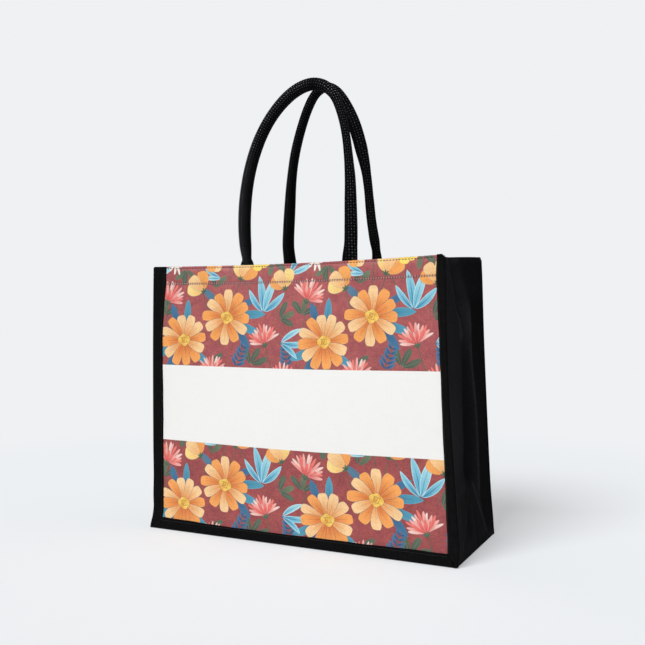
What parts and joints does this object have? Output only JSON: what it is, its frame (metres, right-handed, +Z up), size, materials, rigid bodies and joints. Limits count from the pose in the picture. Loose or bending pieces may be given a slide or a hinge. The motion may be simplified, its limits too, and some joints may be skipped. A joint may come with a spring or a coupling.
{
  "type": "laminated canvas tote bag",
  "caption": "Open-topped upright tote of laminated printed canvas with black gussets, black binding strips, an inward-folded side and round carrying handles.",
  "frame": {"origin": "middle of the outer box, on the surface that the bag stands on", "axes": "+Z up through the open top and the handles, +X to the right across the front panel, and the front panel faces -Y"},
  "size_m": [0.4288, 0.1708, 0.5982],
  "materials": {
    "printed_canvas": "canvas with a floral print on maroon and a plain white band, under a thin soft-sheen laminate",
    "black_canvas": "black canvas, fine plain weave, thin laminate inside",
    "binding": "black binding strip, fine weave, topstitched",
    "handle_rope": "black soft tube of diagonal basket weave, matt"
  },
  "bodies": {
    "root": {"front_panel": "printed_canvas", "back_panel": "printed_canvas", "front_strip_left": "binding", "front_strip_right": "binding", "front_strip_base": "binding", "back_strip_left": "binding", "back_strip_right": "binding", "back_strip_base": "binding", "left_gusset": "black_canvas", "right_gusset": "black_canvas", "base": "black_canvas", "front_handle": "handle_rope", "back_handle": "handle_rope"}
  },
  "joints": []
}
